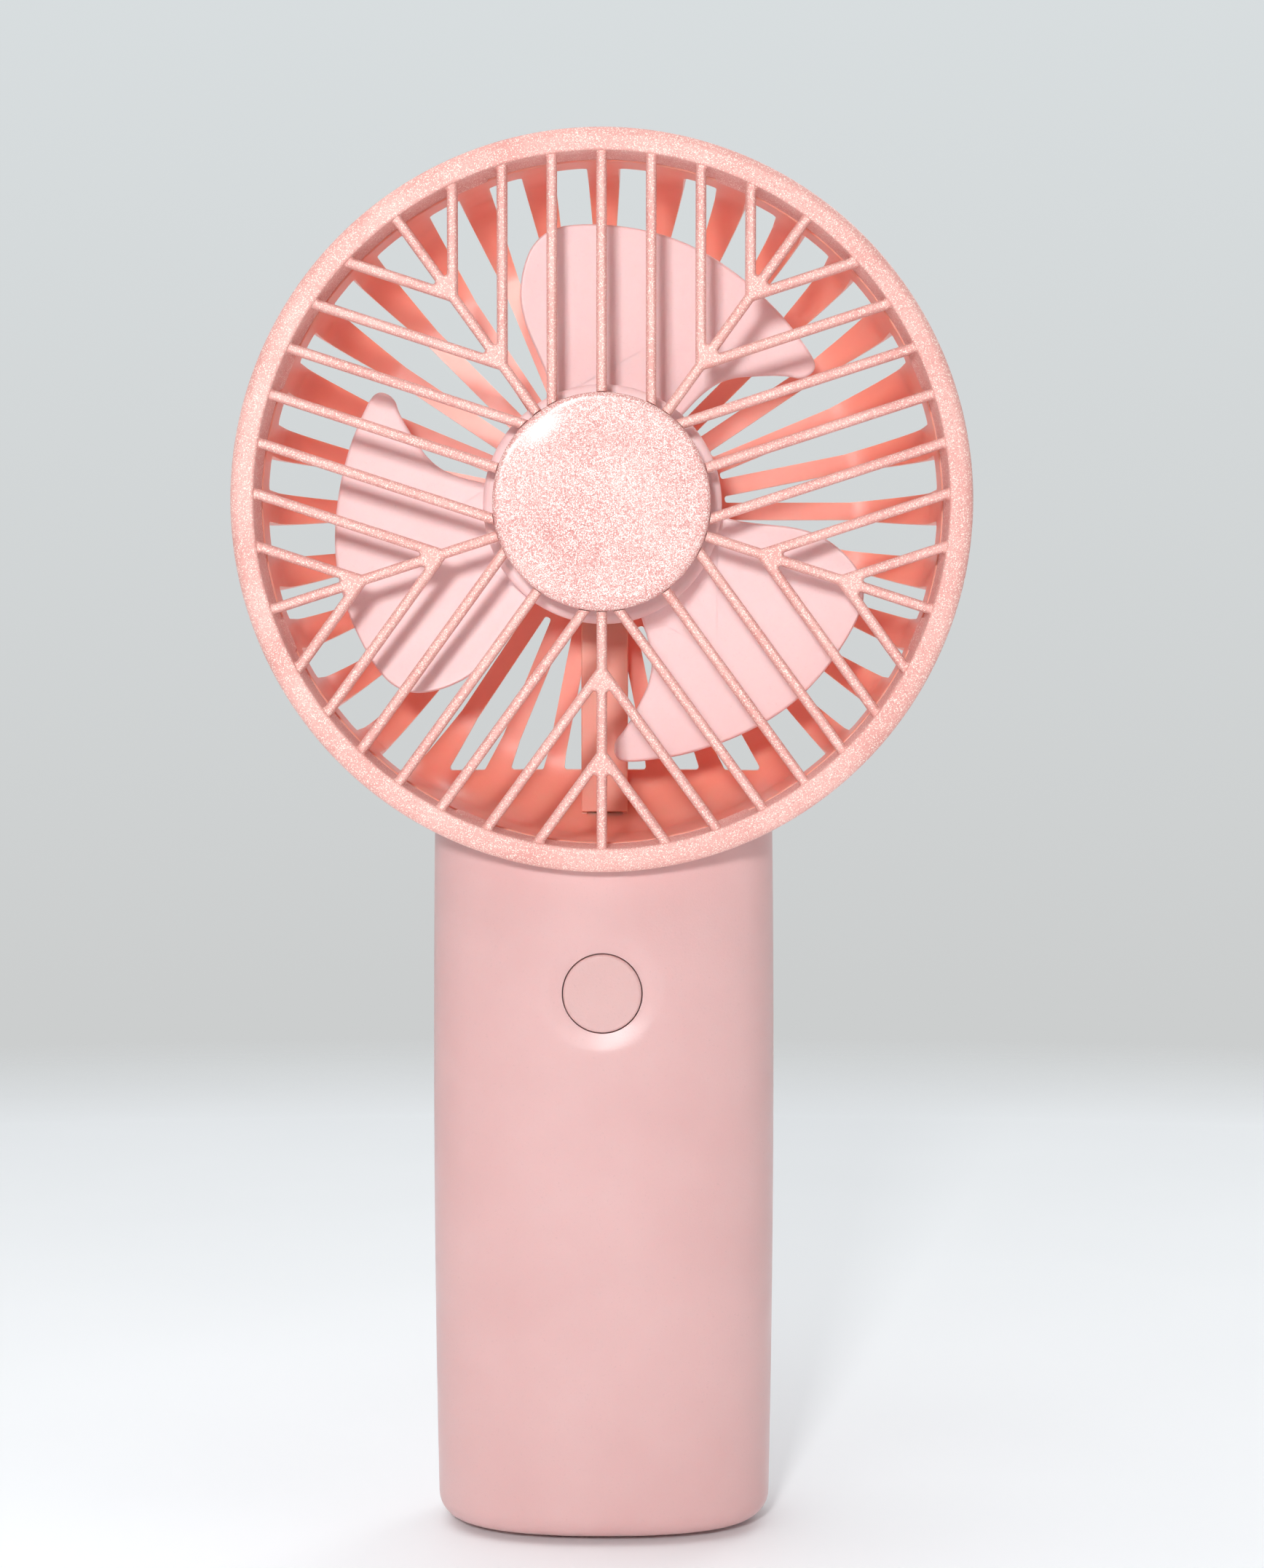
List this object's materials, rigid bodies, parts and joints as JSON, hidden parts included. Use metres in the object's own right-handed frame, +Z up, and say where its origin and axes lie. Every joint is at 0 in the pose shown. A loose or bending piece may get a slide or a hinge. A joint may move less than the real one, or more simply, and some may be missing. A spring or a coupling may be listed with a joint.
{
  "type": "handheld electric fan",
  "caption": "Pocket fan: a guarded round head with a bladed impeller on an oval battery handle that stands on its base.",
  "frame": {"origin": "middle of the base pad's lower face, on the surface that the fan stands on", "axes": "+Z up the handle to the head, -Y towards the front of the fan, +X to the right of someone who looks at the front"},
  "size_m": [0.1, 0.0355, 0.194],
  "materials": {
    "pearl_plastic": "pearl lacquer with fine metallic flake",
    "glitter_plastic": "dense glitter lacquer",
    "pink_shell": "satin moulded",
    "blade_plastic": "satin moulded",
    "button_plastic": "satin moulded",
    "pad_rubber": "matte silicone",
    "steel": "plated",
    "copper": "enamelled wire and bare copper",
    "bronze": "oiled sintered bronze",
    "magnet": "dull ferrite",
    "white_nylon": "natural nylon",
    "black_plastic": "matte",
    "board": "solder mask",
    "capacitor": "ceramic",
    "clear_plastic": "clear moulded",
    "cell_sleeve": "shrink sleeve over a steel can",
    "foam": "closed-cell foam",
    "lead_red": "wire insulation",
    "lead_black": "wire insulation",
    "lead_yellow": "wire insulation"
  },
  "bodies": {
    "root": {"front_grille": "pearl_plastic", "grille_badge": "glitter_plastic", "head_housing": "pink_shell", "wire_cover": "pink_shell", "motor_can": "steel", "motor_magnets": "magnet", "motor_end_cap": "white_nylon", "motor_brushes": "copper", "motor_terminals": "steel", "motor_front_bearing": "bronze", "motor_rear_bearing": "bronze", "handle_front": "pink_shell", "handle_rear": "pink_shell", "base_pad": "pad_rubber", "handle_screws": "steel", "switch_body": "black_plastic", "control_board": "board", "control_chip": "black_plastic", "board_capacitors": "capacitor", "board_screws": "steel", "charge_board": "board", "usb_c_shell": "steel", "usb_c_tongue": "black_plastic", "charge_chip": "black_plastic", "charge_inductor": "magnet", "charge_led": "clear_plastic", "light_pipe": "clear_plastic", "battery_cell": "cell_sleeve", "battery_tabs": "steel", "battery_foam": "foam", "battery_lead_red": "lead_red", "battery_lead_black": "lead_black", "charge_leads": "lead_yellow", "motor_lead_red": "lead_red", "motor_lead_black": "lead_black"},
    "rotor": {"impeller": "blade_plastic", "motor_shaft": "steel", "motor_armature": "copper", "motor_commutator": "copper"},
    "button": {"button": "button_plastic"},
    "plunger": {"switch_plunger": "white_nylon"}
  },
  "joints": [
    {"name": "fan_spin", "type": "hinge", "parent": "root", "child": "rotor", "pos_m": [0, 0, 0.144], "axis": [0, -1, 0], "continuous": true},
    {"name": "button_press", "type": "slide", "parent": "root", "child": "button", "axis": [0, 1, 0], "range_m": [0, 0.00035], "stiffness_N_per_m": 1500, "springref_m": -0.0002},
    {"name": "plunger_press", "type": "slide", "parent": "root", "child": "plunger", "axis": [0, 1, 0], "range_m": [0, 0.00035]}
  ],
  "couplings": [
    {"joint": "plunger_press", "follows": "button_press", "ratio": 1}
  ]
}
